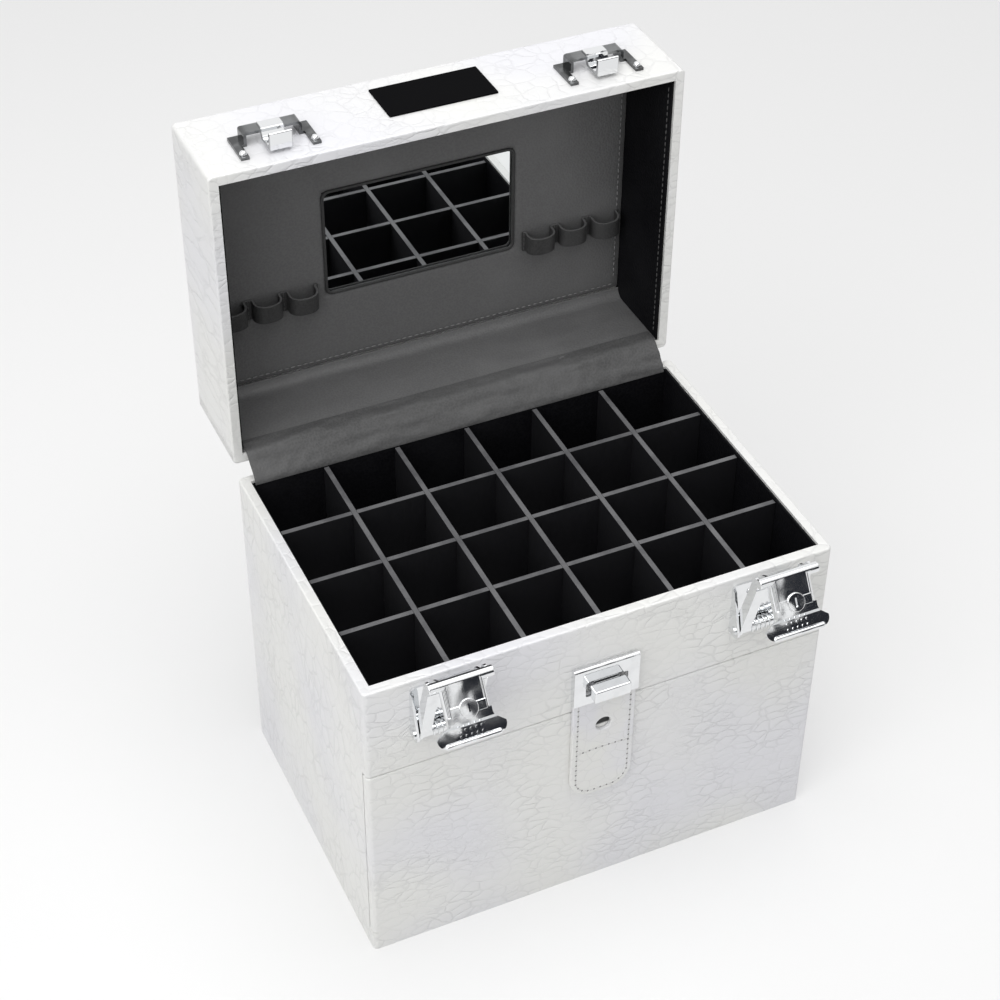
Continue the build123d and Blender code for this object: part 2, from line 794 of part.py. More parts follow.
def lid_linings():
    low = lid_rim + lining_drop
    walls = [
        board(-inner_x, -lined_x, -inner_y, inner_y, low, lid_inner_height),
        board(lined_x, inner_x, -inner_y, inner_y, low, lid_inner_height),
        board(-lined_x, lined_x, -inner_y, -lined_y, low, lid_inner_height),
    ]
    save(Compound([opened(part) for part in walls]), "lid_wall_linings")
    cove_y = lined_y - cove_radius
    corner = cove_radius * (1 - cos(radians(45)))
    cove = make_face([
        Line((inner_y, low), (lined_y, low)),
        Line((lined_y, low), (lined_y, panel_face - cove_radius)),
        ThreePointArc((lined_y, panel_face - cove_radius), (lined_y - corner, panel_face - corner),
                      (cove_y, panel_face)),
        Line((cove_y, panel_face), (cove_y, lid_inner_height)),
        Line((cove_y, lid_inner_height), (inner_y, lid_inner_height)),
        Line((inner_y, lid_inner_height), (inner_y, low)),
    ])
    save(opened(extrude(Plane.YZ.offset(-lined_x) * cove, 2 * lined_x)), "lid_back_lining")


def mirror_and_panel():
    front = -lined_y
    back = lined_y - cove_radius
    panel = board(-lined_x, lined_x, front, back, panel_face, lid_inner_height)
    place = Pos(0, mirror_centre_y)
    opening = place * RectangleRounded(mirror_width, mirror_depth, window_round)
    lap = 2 * (mirror_lap + mirror_fit)
    pocket = place * Rectangle(mirror_width + lap, mirror_depth + lap)
    pocket_depth = mirror_glass + mirror_fit
    panel -= extrude(Plane.XY.offset(panel_face) * opening, panel_thickness)
    panel -= extrude(Plane.XY.offset(lid_inner_height - pocket_depth) * pocket, pocket_depth)
    rim_edges = panel.faces().sort_by(Axis.Z)[0].inner_wires()[0].edges()
    save(opened(chamfer(rim_edges, window_bevel)), "lid_panel")
    glass = place * Rectangle(mirror_width + 2 * mirror_lap, mirror_depth + 2 * mirror_lap)
    save(opened(extrude(Plane.XY.offset(lid_inner_height - mirror_glass) * glass, mirror_glass)), "mirror")


def loop_strip_outline(way):
    """One strip of brush loops, drawn in X and Z below the panel: stitched feet and round loops."""
    length = loop_count * loop_pitch
    strip = Pos(way * (loop_inner_x + length / 2), panel_face - loop_strip / 2) * Rectangle(
        length, loop_strip)
    straight = loop_stand - loop_radius
    holes = Sketch()
    for number in range(loop_count):
        x = way * (loop_inner_x + loop_pitch * (number + 0.5))
        tip = panel_face - straight
        strip += Pos(x, panel_face - straight / 2) * Rectangle(2 * loop_radius, straight)
        strip += Pos(x, tip) * Circle(loop_radius)
        inner = loop_radius - loop_strip
        holes += Pos(x, panel_face - straight / 2) * Rectangle(2 * inner, straight)
        holes += Pos(x, tip) * Circle(inner)
    above = Pos(0, panel_face + loop_stand) * Rectangle(2 * case_width, 2 * loop_stand)
    return strip - holes - above


def brush_loops():
    for name, way in sides:
        strip = front_plate(loop_strip_outline(way), loop_front_y, loop_front_y + loop_height)
        save(opened(strip), f"brush_loops_{name}")


# Carry handle with its brackets
def handle():
    axis_z = lid_top_height + handle_stand
    half = handle_span / 2
    rivets = []
    brackets = []
    lug_in = handle_eye_width / 2 + bracket_lug_gap
    for way in (-1, 1):
        x = way * half
        foot = board(x - bracket_width / 2, x + bracket_width / 2, -bracket_length / 2, bracket_length / 2,
                     lid_top_height, lid_top_height + bracket_sheet)
        foot = fillet(foot.edges().filter_by(Axis.Z), plate_round)
        for side in (-1, 1):
            x0, x1 = sorted((x + side * lug_in, x + side * (lug_in + bracket_sheet)))
            lug = side_plate((
                (-bracket_lug_length / 2, lid_top_height + bracket_sheet / 2),
                (bracket_lug_length / 2, lid_top_height + bracket_sheet / 2),
                (handle_radius, axis_z),
                (-handle_radius, axis_z),
            ), x0, x1)
            foot += lug + rod(x0, x1, 0, axis_z, handle_radius)
        reach = lug_in + bracket_sheet
        foot += rod(x - reach, x + reach, 0, axis_z, handle_pin_radius)
        brackets.append(opened(foot))
        for y in (-1, 1):
            head = Pos(x, y * bracket_rivet_distance, lid_top_height + bracket_sheet) * rivet()
            rivets.append(opened(head))
    save(Compound(brackets), "handle_brackets")
    path = FilletPolyline((-half, 0, axis_z), (-half, handle_reach, axis_z), (half, handle_reach, axis_z),
                          (half, 0, axis_z), radius=handle_bend)
    grip = sweep(Plane(origin=path @ 0, z_dir=path % 0) * Circle(handle_radius), path=path)
    for way in (-1, 1):
        x = way * half
        x0, x1 = x - handle_eye_width / 2, x + handle_eye_width / 2
        grip += rod(x0, x1, 0, axis_z, handle_eye_radius)
        grip -= rod(x0, x1, 0, axis_z, handle_pin_radius + pin_fit)
    save(opened(grip), "carry_handle")
    return rivets


# Leatherette gusset that bridges the rear rims inside, at rest
def gusset():
    base_y = lined_y - gusset_air
    lid_z = hinge_z + hinge_y - lined_y + gusset_air
    start = (base_y, rim - divider_drop + gusset_air)
    knee = (base_y, rim + gusset_air)
    lip = (hinge_y + rim_gap, lid_z)
    end = (hinge_y + rim_gap + gusset_reach, lid_z)
    path = FilletPolyline(start, knee, lip, end, radius=gusset_bend)
    outline = make_face([path, offset_line(path), *end_caps(path)])
    save(extrude(Plane.YZ.offset(-lined_x + lining) * outline, 2 * (lined_x - lining)), "hinge_gusset")


def offset_line(path):
    """The gusset's inner face: the same path, one sheet further in."""
    base_y = lined_y - gusset_air - gusset_sheet
    lid_z = hinge_z + hinge_y - lined_y + gusset_air + gusset_sheet
    first, last = path @ 0, path @ 1
    return FilletPolyline((base_y, first.Y), (base_y, rim + gusset_air + gusset_knee_shift),
                          (hinge_y + rim_gap - gusset_knee_shift, lid_z), (last.X, lid_z), radius=gusset_bend)


def end_caps(path):
    """The two short edges that close the gusset's outline."""
    other = offset_line(path)
    return [Line(path @ 0, other @ 0), Line(path @ 1, other @ 1)]


base_boards()
base_linings()
dividers()
door()
strap()
turn_lock()
latch_rivets = latches()
keeper_rivets = keepers()
hinge_base_rivets, hinge_lid_rivets = hinges()
save(Compound(latch_rivets + hinge_base_rivets), "base_rivets")
lid_boards()
lid_linings()
mirror_and_panel()
brush_loops()
handle_rivets = handle()
save(Compound(keeper_rivets + hinge_lid_rivets + handle_rivets), "lid_rivets")
gusset()
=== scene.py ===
import json
import math

import bmesh
import bpy
from bpy.props import FloatProperty, FloatVectorProperty, IntProperty, PointerProperty
from mathutils import Matrix, Vector, noise


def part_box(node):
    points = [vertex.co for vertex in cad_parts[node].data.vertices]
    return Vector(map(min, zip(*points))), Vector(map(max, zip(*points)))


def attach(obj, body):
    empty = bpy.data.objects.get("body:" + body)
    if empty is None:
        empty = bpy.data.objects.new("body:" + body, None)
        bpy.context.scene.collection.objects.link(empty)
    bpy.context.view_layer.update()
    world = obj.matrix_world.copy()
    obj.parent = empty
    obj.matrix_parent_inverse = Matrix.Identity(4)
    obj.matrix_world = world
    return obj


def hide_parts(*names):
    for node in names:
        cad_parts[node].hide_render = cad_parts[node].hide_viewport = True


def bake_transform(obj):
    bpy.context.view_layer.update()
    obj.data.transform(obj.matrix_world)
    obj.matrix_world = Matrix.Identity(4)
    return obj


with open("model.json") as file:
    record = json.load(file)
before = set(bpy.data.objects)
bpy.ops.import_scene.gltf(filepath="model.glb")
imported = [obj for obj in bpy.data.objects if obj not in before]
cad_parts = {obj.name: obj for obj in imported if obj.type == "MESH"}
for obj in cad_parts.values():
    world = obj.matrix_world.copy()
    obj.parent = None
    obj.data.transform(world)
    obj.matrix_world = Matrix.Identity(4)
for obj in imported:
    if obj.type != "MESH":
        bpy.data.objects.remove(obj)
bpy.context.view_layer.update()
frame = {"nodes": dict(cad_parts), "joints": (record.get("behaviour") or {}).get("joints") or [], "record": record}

bl_info = {
    "name": "Polish case dressing",
    "version": (1, 0, 0),
    "blender": (4, 5, 0),
    "location": "View3D > Sidebar > Polish case",
    "description": "Covers the packed polish case with pearl leatherette, lining, stitching and chrome",
    "category": "Object",
}

HOLE_HEIGHT = 0.111  # middle of the strap's punched hole
HOLE_RADIUS = 0.004
RIM_GAP = (0.180, 0.190)  # heights between the base's rim and the raised lid
SHARP = math.radians(40)  # edges that turn more are hard
LAMP_AIM = (0.0, 0.0, 0.15)  # what the lamps point at
CARD_RING = 2.2  # distance of the dark cards


def setting(kind, **limits):
    """What makes settings of one kind, each from its name, description and default."""
    return lambda name, description, default: kind(name=name, description=description, default=default,
                                                   **limits)


length_setting = setting(FloatProperty, min=0.0, precision=5, subtype="DISTANCE", unit="LENGTH")
colour_setting = setting(FloatVectorProperty, min=0.0, max=1.0, size=3, subtype="COLOR")
share_setting = setting(FloatProperty, min=0.0, max=1.0, subtype="FACTOR")
power_setting = setting(FloatProperty, min=0.0, unit="POWER")
angle_setting = setting(FloatProperty, subtype="ANGLE", unit="ROTATION")
place_setting = setting(FloatVectorProperty, size=3, subtype="TRANSLATION", unit="LENGTH")


class CaseSkin(bpy.types.PropertyGroup):
    """The pearl leatherette of the outside."""

    pearl: colour_setting("Pearl", "Main colour of the leatherette", (0.80, 0.80, 0.78))
    lilac: colour_setting("Lilac cast", "Cool cast that drifts over the pearl", (0.765, 0.765, 0.795))
    # crease: colour of the painted shade at the bottom of the embossed creases
    crease: colour_setting("Crease", "Colour at the bottom of the embossed creases", (0.48, 0.48, 0.49))
    scale_width: length_setting("Scale width", "Usual width of an embossed scale", 0.0098)
    scale_height: length_setting("Scale height", "Usual height of an embossed scale", 0.0050)
    emboss_depth: length_setting("Emboss depth", "Depth of the embossed creases", 0.00025)
    gloss: share_setting("Roughness", "Roughness of the pearl finish", 0.36)


class CaseLining(bpy.types.PropertyGroup):
    """The dark lining, the dividers and the sewing."""

    charcoal: colour_setting("Charcoal", "Colour of the lid lining", (0.122, 0.122, 0.123))
    black: colour_setting("Black", "Colour of the side linings and the dividers", (0.004, 0.004, 0.005))
    thread: colour_setting("Thread", "Colour of the lining's thread", (0.10, 0.10, 0.10))
    strap_thread: colour_setting("Strap thread", "Colour of the strap's thread", (0.76, 0.76, 0.75))
    grain: length_setting("Grain", "Size of the lining's grain", 0.0011)
    stitch: length_setting("Stitch", "Length of one stitch", 0.0026)
    pitch: length_setting("Stitch pitch", "Distance from stitch to stitch", 0.0034)
    wrinkle: length_setting("Wrinkle", "Height of the soft wrinkles", 0.0004)


class CaseMetal(bpy.types.PropertyGroup):
    """The plated hardware, the looking glass and the bare plate."""

    chrome: colour_setting("Chrome", "Colour of the bright plating", (0.82, 0.83, 0.84))
    satin: colour_setting("Satin", "Colour of the satin plating", (0.50, 0.51, 0.52))
    dull: colour_setting("Dull", "Colour of the keepers' dull plating", (0.21, 0.215, 0.22))
    silver: colour_setting("Silver", "Colour of the looking glass", (0.86, 0.88, 0.88))
    enamel: colour_setting("Enamel", "Colour of the bare plate", (0.003, 0.003, 0.0035))
    polish: share_setting("Roughness", "Roughness of the bright plating", 0.03)
    spring_turns: IntProperty(name="Spring turns", description="Turns of each latch spring", default=7, min=1)


class CaseStage(bpy.types.PropertyGroup):
    """The floor, the lamps and the camera."""

    floor: colour_setting("Floor", "Colour of the floor", (0.62, 0.62, 0.62))
    floor_glow: share_setting("Floor glow", "White added where the floor is looked at", 0.25)
    sky: share_setting("Sky", "Strength of the even light from all round", 0.54)
    key: power_setting("Key", "Power of the large lamp at the upper left", 13.0)
    top: power_setting("Top", "Power of the lamp above", 15.0)
    eye: place_setting("Camera", "Place of the camera", (-0.3495, -0.7154, 0.8626))
    azimuth: angle_setting("Azimuth", "Turn of the camera round the case", math.radians(-24.9875))
    elevation: angle_setting("Elevation", "Height of the camera over the horizon", math.radians(40.4168))
    roll: angle_setting("Roll", "Roll of the camera", math.radians(0.5388))
    lens: FloatProperty(name="Lens", description="Focal length in millimetres", default=78.448, min=1.0)


class Wire:
    """A socket in a node tree. Sums, differences, products and sizes of wires add Math nodes."""

    def __init__(self, tree, socket):
        self.tree = tree
        self.socket = socket

    def maths(self, operation, first, second):
        return self.tree.node("ShaderNodeMath", {"operation": operation}, {0: first, 1: second})

    def __add__(self, other):
        return self.maths("ADD", self, other)

    def __sub__(self, other):
        return self.maths("SUBTRACT", self, other)

    def __rsub__(self, other):
        return self.maths("SUBTRACT", other, self)

    def __mul__(self, other):
        return self.maths("MULTIPLY", self, other)

    def __abs__(self):
        return self.maths("ABSOLUTE", self, 0.0)


class Nodes:
    """A node tree and its main shader."""

    def __init__(self, tree, shader):
        self.tree = tree
        self.shader = next(n for n in tree.nodes if n.bl_idname == shader)

    def socket(self, sockets, key):
        """A socket by its place, or by its name among those in use."""
        if isinstance(key, int):
            return sockets[key]
        return next(s for s in sockets if s.enabled and s.name == key)

    def node(self, kind, settings=None, sockets=None, out=0):
        """A new node: its settings are set first, then the values or links of its sockets."""
        made = self.tree.nodes.new(kind)
        for key, value in (settings or {}).items():
            setattr(made, key, value)
        for key, value in (sockets or {}).items():
            self.join(self.socket(made.inputs, key), value)
        return Wire(self, self.socket(made.outputs, out))

    def join(self, target, value):
        """Link a wire to a socket, or set the socket to a plain value."""
        if isinstance(value, Wire):
            self.tree.links.new(value.socket, target)
        elif target.type == "RGBA":
            target.default_value = (*value, 1.0)
        else:
            target.default_value = value

    def feed(self, **sockets):
        """Values or wires for the main shader, by socket name with _ for a space."""
        for key, value in sockets.items():
            self.join(self.socket(self.shader.inputs, key.replace("_", " ")), value)

    def vector(self, operation, first, second):
        return self.node("ShaderNodeVectorMath", {"operation": operation}, {0: first, 1: second})

    def mixed(self, factor, first, second):
        """Two colours mixed by a factor."""
        return self.node("ShaderNodeMix", {"data_type": "RGBA"},
                         {"Factor": factor, "A": first, "B": second}, "Result")

    def part(self, vector, axis):
        """One axis of a vector."""
        return self.node("ShaderNodeSeparateXYZ", None, {"Vector": vector}, axis)

    def step(self, value, low, high, to_low=0.0, to_high=1.0):
        """A smooth step of a value from one level to another."""
        return self.node("ShaderNodeMapRange", {"interpolation_type": "SMOOTHSTEP"},
                         {"Value": value, "From Min": low, "From Max": high,
                          "To Min": to_low, "To Max": to_high})

    def seen(self):
        """1 where the camera looks, in a reflection or through glass too, and 0 for the light that falls."""
        rays = self.node("ShaderNodeLightPath", out="Is Camera Ray")
        paths = rays.socket.node.outputs
        looks = rays + Wire(self, paths["Is Glossy Ray"]) + Wire(self, paths["Is Transmission Ray"])
        return self.step(looks, 0.0, 1.0)


class Finish(Nodes):
    """A new material with one Principled shader and the nodes that feed it."""

    def __init__(self, name):
        self.material = bpy.data.materials.new(name)
        self.material.use_nodes = True
        super().__init__(self.material.node_tree, "ShaderNodeBsdfPrincipled")

    def place(self):
        """Where a point of the piece lies at rest, in metres."""
        return self.node("ShaderNodeTexCoord", out="Object")

    def noise(self, place, size, detail=2.0, out="Fac"):
        """Soft noise whose lumps are about the given size."""
        return self.node("ShaderNodeTexNoise", None,
                         {"Vector": place, "Scale": 1.0 / size, "Detail": detail}, out)

    def cracks(self, place, scale):
        """Distance to the nearest border between cells, with the cells' own scale along each axis."""
        return self.node("ShaderNodeTexVoronoi", {"feature": "DISTANCE_TO_EDGE"},
                         {"Vector": self.vector("MULTIPLY", place, scale), "Scale": 1.0, "Randomness": 0.85},
                         "Distance")

    def bump(self, height, distance, strength=1.0):
        return self.node("ShaderNodeBump", None,
                         {"Height": height, "Distance": distance, "Strength": strength}, "Normal")


def scaled(colour, share):
    """A colour made darker or lighter."""
    return tuple(share * c for c in colour)


def drifted(finish, place, size, reach):
    """The place pushed about by soft noise, so that lines drawn from it wander."""
    push = finish.vector("SUBTRACT", finish.noise(place, size, 2.0, "Color"), (0.5, 0.5, 0.5))
    return finish.vector("ADD", place, finish.vector("MULTIPLY", push, (reach, reach, reach)))


def pearl_leatherette(skin):
    """White pearl leatherette with a crocodile emboss: wandering rows, with rounder scales on the flanks of
    the base and long level ones on those of the lid, which stands up at rest."""
    finish = Finish("pearl_leatherette")
    place = finish.place()
    normal = finish.node("ShaderNodeNewGeometry", out="Normal")
    flank = finish.step(abs(finish.part(normal, "X")), 0.5, 0.9)
    raised = finish.step(finish.part(place, "Z"), *RIM_GAP)
    wandering = finish.mixed(flank * (1 - raised), drifted(finish, place, 0.013, 0.008),
                             drifted(finish, place, 0.030, 0.004))
    wide, high = 1.0 / skin.scale_width, 1.0 / skin.scale_height
    beside = finish.mixed(raised, (wide, 1.3 * wide, 0.45 * high), (wide, 0.38 * wide, 0.55 * high))
    scales = finish.cracks(wandering, finish.mixed(flank, (wide, wide, high), beside))
    finer = finish.mixed(raised, (wide, 4.0 * wide, 0.6 * high), (wide, 0.8 * wide, 1.2 * high))
    fine = finish.cracks(wandering, finish.mixed(flank, (2.3 * wide, 2.3 * wide, 2.0 * high), finer))
    patches = finish.step(finish.noise(place, 0.040), 0.48, 0.62)
    bold = finish.step(finish.noise(place, 0.030, 4.0), 0.40, 0.60, 0.40, 1.0)
    crease = (1 - finish.step(scales, 0.0, 0.09)) * bold
    hairline = (1 - finish.step(fine, 0.0, 0.08)) * patches
    pillow = finish.step(scales, 0.0, 0.35)
    pores = finish.noise(place, 0.0009, 3.0)
    relief = pillow * bold * 0.40 - crease * 0.60 - hairline * 0.25
    height = relief * (flank * 0.8 + 1) + pores * 0.08
    cast = finish.step(finish.noise(place, 0.09, 1.0), 0.35, 0.68)
    tone = finish.mixed(cast, skin.pearl, skin.lilac)
    # painted shade: the creases and hairlines are painted darker, less so on the flanks
    crease_shade = (crease * 0.19 + hairline * 0.08) * (1 - flank * 0.35)
    tone = finish.mixed(crease_shade, tone, skin.crease)
    finish.feed(Base_Color=tone, Metallic=0.12, Roughness=crease * 0.18 + pores * 0.10 + (skin.gloss - 0.05),
                Normal=finish.bump(height, skin.emboss_depth), Coat_Weight=0.15, Coat_Roughness=0.25)


def strap_leatherette(skin):
    """The strap's leatherette: the same pearl with a finer emboss."""
    finish = Finish("strap_leatherette")
    place = finish.place()
    wandering = drifted(finish, place, 0.015, 0.010)
    fine = 1.0 / skin.scale_height
    scales = finish.cracks(wandering, (0.7 * fine, 0.2 * fine, 0.9 * fine))
    crease = 1 - finish.step(scales, 0.0, 0.05)
    pores = finish.noise(place, 0.0008, 3.0)
    tone = finish.mixed(finish.step(finish.noise(place, 0.03), 0.4, 0.7), skin.pearl, skin.lilac)
    # painted shade: the creases are painted darker
    tone = finish.mixed(crease * 0.18, tone, skin.crease)
    finish.feed(Base_Color=tone, Metallic=0.08, Roughness=pores * 0.14 + skin.gloss,
                Normal=finish.bump(pores * 0.25 - crease * 0.4, 0.6 * skin.emboss_depth), Coat_Weight=0.1)


def lining_leatherette(lining, name, colour, lift, shine, strip=False):
    """Matt lining leatherette: fine pebble grain, faint rub marks and a dusty sheen.
    A strip has painted shade on its inner side and is lighter on its cut edges."""
    finish = Finish(name)
    place = finish.place()
    pebble = finish.node("ShaderNodeTexVoronoi", {"feature": "SMOOTH_F1"},
                         {"Vector": place, "Scale": 1.0 / lining.grain, "Smoothness": 0.6}, "Distance")
    pull = finish.noise(place, 0.018, 4.0)
    dust = finish.step(finish.noise(place, 0.05, 5.0), 0.42, 0.75)
    light = tuple(min(1.0, c * lift + 0.006) for c in colour)
    tone = finish.mixed(dust * 0.7, colour, light)
    tone = finish.mixed(finish.step(pebble, 0.25, 0.7) * 0.4, tone, light)
    if strip:
        facing = finish.node("ShaderNodeTexCoord", out="Normal")
        # painted shade: the inner side, facing the panel, is painted black
        tone = finish.mixed(finish.step(finish.part(facing, "Y"), 0.0, 0.6), tone, lining.black)
        tone = finish.mixed(finish.step(abs(finish.part(facing, "Z")), 0.6, 0.9), tone, lining.charcoal)
    finish.feed(Base_Color=tone, Roughness=pull * 0.16 + 0.46, Specular_IOR_Level=shine,
                Normal=finish.bump(pull * 0.9 - pebble * 0.45, 0.00040, 0.8))


def divider_board(lining):
    """Black covered board whose up-facing faces are painted grey: partly the bare card of the cut top edge, partly
    a painted highlight.
    """
    finish = Finish("divider_board")
    place = finish.place()
    up = finish.part(finish.node("ShaderNodeNewGeometry", out="Normal"), "Z")
    # up-facing faces take the grey card colour: bare card and painted highlight
    edge = finish.step(up, 0.6, 0.9)
    fibres = finish.noise(finish.vector("MULTIPLY", place, (1.0, 1.0, 0.2)), 0.0007, 4.0)
    scuff = finish.step(finish.noise(place, 0.012, 4.0), 0.35, 0.7)
    card = finish.mixed(scuff, (0.13, 0.13, 0.135), (0.075, 0.075, 0.08))
    cover = finish.mixed(fibres, lining.black, scaled(lining.black, 2.2))
    finish.feed(Base_Color=finish.mixed(edge, cover, card), Roughness=fibres * 0.2 + 0.42,
                Normal=finish.bump(fibres, 0.00012, 0.6))


def plating(name, colour, roughness, grain):
    """Plated pressed sheet: shallow dents, faint polishing lines, soft smudges and a drifting tone."""
    finish = Finish(name)
    place = finish.place()
    dents = finish.noise(place, 0.012, 1.0)
    lines = finish.noise(finish.vector("MULTIPLY", place, (1.0, 9.0, 9.0)), 0.0030, 3.0)
    smudge = finish.step(finish.noise(place, 0.007, 4.0), 0.45, 0.75)
    shade = scaled(colour, 0.86)
    finish.feed(Base_Color=finish.mixed(smudge * 0.5, colour, shade), Metallic=1.0,
                Roughness=smudge * 0.05 + lines * grain + roughness,
                Normal=finish.bump(lines * 0.02 + dents, 0.00016))


def keeper_plating(metal, centre):
    """Plated keepers: a dull bridge with painted shade towards its bent ends, and a tongue painted bright chrome
    as a painted highlight.
    """
    finish = Finish("keeper_plating")
    place = finish.place()
    aside = abs(abs(finish.part(place, "X")) - centre)
    # painted highlight: the tongue is painted bright chrome
    tongue = 1 - finish.step(aside, 0.0050, 0.0058)
    # painted shade: the bridge is painted darker towards its bent ends
    end = finish.step(aside, 0.0095, 0.0150)
    smudge = finish.step(finish.noise(place, 0.005, 4.0), 0.40, 0.75)
    dull = finish.mixed(end, metal.dull, scaled(metal.dull, 0.45))
    dull = finish.mixed(smudge * 0.4, dull, scaled(metal.dull, 1.5))
    finish.feed(Base_Color=finish.mixed(tongue, dull, metal.chrome), Metallic=1.0,
                Roughness=smudge * 0.06 + (1 - tongue) * 0.12 + metal.polish,
                Normal=finish.bump(finish.noise(place, 0.008, 1.0), 0.0002))


def looking_glass(metal):
    """Silvered glass with faint patches of haze."""
    finish = Finish("looking_glass")
    haze = finish.step(finish.noise(finish.place(), 0.02, 4.0), 0.5, 0.8)
    finish.feed(Base_Color=finish.mixed(haze * 0.2, metal.silver, scaled(metal.silver, 0.9)),
                Metallic=1.0, Roughness=haze * 0.02 + 0.01)


def plate_enamel(metal):
    """Black enamel of the bare plate, with fine dust and a soft orange peel."""
    finish = Finish("plate_enamel")
    place = finish.place()
    peel = finish.noise(place, 0.0012, 2.0)
    dust = finish.step(finish.noise(place, 0.004, 5.0), 0.55, 0.8)
    finish.feed(Base_Color=finish.mixed(dust * 0.3, metal.enamel, scaled(metal.enamel, 2.0)),
                Roughness=dust * 0.12 + 0.5, Specular_IOR_Level=0.01, Normal=finish.bump(peel, 0.00005, 0.4))


def sewing_thread(name, colour):
    """Twisted thread: painted highlight on the crown of each ply, painted shade between."""
    finish = Finish(name)
    place = finish.place()
    ply = finish.node("ShaderNodeTexWave", {"bands_direction": "DIAGONAL"},
                      {"Vector": place, "Scale": 700.0, "Distortion": 1.0, "Detail": 1.0}, "Fac")
    # painted highlight on the crowns and painted shade between the plies
    tone = finish.mixed(ply, scaled(colour, 0.75), colour)
    finish.feed(Base_Color=tone, Roughness=ply * 0.2 + 0.55, Normal=finish.bump(ply, 0.0001, 0.6))


def punched_shade(skin):
    """Bottom of the strap's hole: painted shade, dark under the upper rim, pearl towards the lower one."""
    finish = Finish("punched_shade")
    shade = finish.step(finish.part(finish.place(), "Z"), HOLE_HEIGHT - 0.0022, HOLE_HEIGHT - 0.0010)
    finish.feed(Base_Color=finish.mixed(shade, skin.pearl, (0.01, 0.01, 0.01)), Roughness=0.6)


def linked(name, data):
    """A new object in the scene."""
    made = bpy.data.objects.new(name, data)
    bpy.context.scene.collection.objects.link(made)
    return made


def link_piece(name, data, material):
    """A new piece in the frame of the case, with its finish."""
    data.materials.clear()
    data.materials.append(material)
    return linked(name, data)


def made_mesh(piece):
    """The mesh that a curve or a piece with modifiers makes."""
    graph = bpy.context.evaluated_depsgraph_get()
    return bpy.data.meshes.new_from_object(piece.evaluated_get(graph))


def grid_piece(name, across, along, place, material, keep=lambda u, v: True):
    """A sheet over the given lines, without the cells that are not kept."""
    count = len(across)
    faces = []
    for j in range(len(along) - 1):
        for i in range(count - 1):
            if keep((across[i] + across[i + 1]) / 2, (along[j] + along[j + 1]) / 2):
                first = j * count + i
                faces.append((first, first + 1, first + count + 1, first + count))
    used = sorted({index for face in faces for index in face})
    order = {index: number for number, index in enumerate(used)}
    points = [place(across[index % count], along[index // count]) for index in used]
    mesh = bpy.data.meshes.new(name)
    mesh.from_pydata(points, [], [tuple(order[index] for index in face) for face in faces])
    mesh.shade_smooth()
    return link_piece(name, mesh, material)


def soften(piece, width):
    """Round the sharp edges of a piece a little."""
    edge = piece.modifiers.new("soft_edges", "BEVEL")
    edge.width = width
    edge.segments = 2
    edge.limit_method = "ANGLE"
    edge.angle_limit = SHARP
    edge.harden_normals = True


def thicken(piece, thickness, offset, soft=True):
    """Give a sheet its thickness, with soft or plain edges, and fix it into the mesh."""
    body = piece.modifiers.new("thickness", "SOLIDIFY")
    body.thickness = thickness
    body.offset = offset
    if soft:
        soften(piece, thickness * 0.3)
    mesh = made_mesh(piece)
    piece.modifiers.clear()
    piece.data = mesh


def lines(low, high, step, extra=()):
    """Even lines between two limits, with more where they are wanted."""
    count = max(2, round((high - low) / step) + 1)
    even = [low + (high - low) * i / (count - 1) for i in range(count)]
    wanted = [e for e in extra if low < e < high]
    kept = [e for e in even if all(abs(e - w) > 0.3 * step for w in wanted)]
    return sorted(kept + wanted)


def curve_mesh(curve):
    """The mesh of a curve."""
    maker = linked(curve.name + "_curve", curve)
    mesh = made_mesh(maker)
    bpy.data.objects.remove(maker)
    return mesh


def smooth_curve(name, path, resolution):
    """A curve that runs smoothly along the corners of a path."""
    curve = bpy.data.curves.new(name, "CURVE")
    curve.dimensions = "3D"
    curve.resolution_u = resolution
    spline = curve.splines.new("NURBS")
    spline.points.add(len(path) - 1)
    for point, place in zip(spline.points, path):
        point.co = (*place, 1.0)
    spline.order_u = 3
    spline.use_endpoint_u = True
    return curve


def upright_plane(depth):
    """A plane that faces the front at a depth, with its own Y axis upright."""
    return Matrix(((1, 0, 0, 0), (0, 0, -1, depth), (0, 1, 0, 0), (0, 0, 0, 1)))


def cut_sheet(name, outlines, thickness, edge, matrix, material):
    """A flat sheet cut to outlines, the later ones as holes, with rounded edges.
    Its back lies on the plane of the matrix."""
    curve = bpy.data.curves.new(name, "CURVE")
    curve.dimensions = "2D"
    curve.fill_mode = "BOTH"
    curve.extrude = thickness / 2 - edge
    curve.bevel_depth = edge
    curve.bevel_resolution = 3
    curve.offset = -edge
    for outline in outlines:
        spline = curve.splines.new("POLY")
        spline.points.add(len(outline) - 1)
        for point, (x, y) in zip(spline.points, outline):
            point.co = (x, y, 0.0, 1.0)
        spline.use_cyclic_u = True
    mesh = curve_mesh(curve)
    mesh.transform(matrix @ Matrix.Translation((0.0, 0.0, thickness / 2)))
    mesh.name = name
    return link_piece(name, mesh, material)


def rounded_box(x0, x1, y0, y1, radii, steps=8):
    """A rectangle's outline with its own radius at each corner, from the lower left one round."""
    corners = ((x0, y0, 180), (x1, y0, 270), (x1, y1, 0), (x0, y1, 90))
    points = []
    for (x, y, start), radius in zip(corners, radii):
        cx = x + (radius if x == x0 else -radius)
        cy = y + (radius if y == y0 else -radius)
        for step in range(steps + 1):
            angle = math.radians(start + 90 * step / steps)
            points.append((cx + radius * math.cos(angle), cy + radius * math.sin(angle)))
    return points


def circle(x, y, radius):
    """A round outline."""
    steps = 40
    angles = [2 * math.pi * i / steps for i in range(steps)]
    return [(x + radius * math.cos(angle), y + radius * math.sin(angle)) for angle in angles]


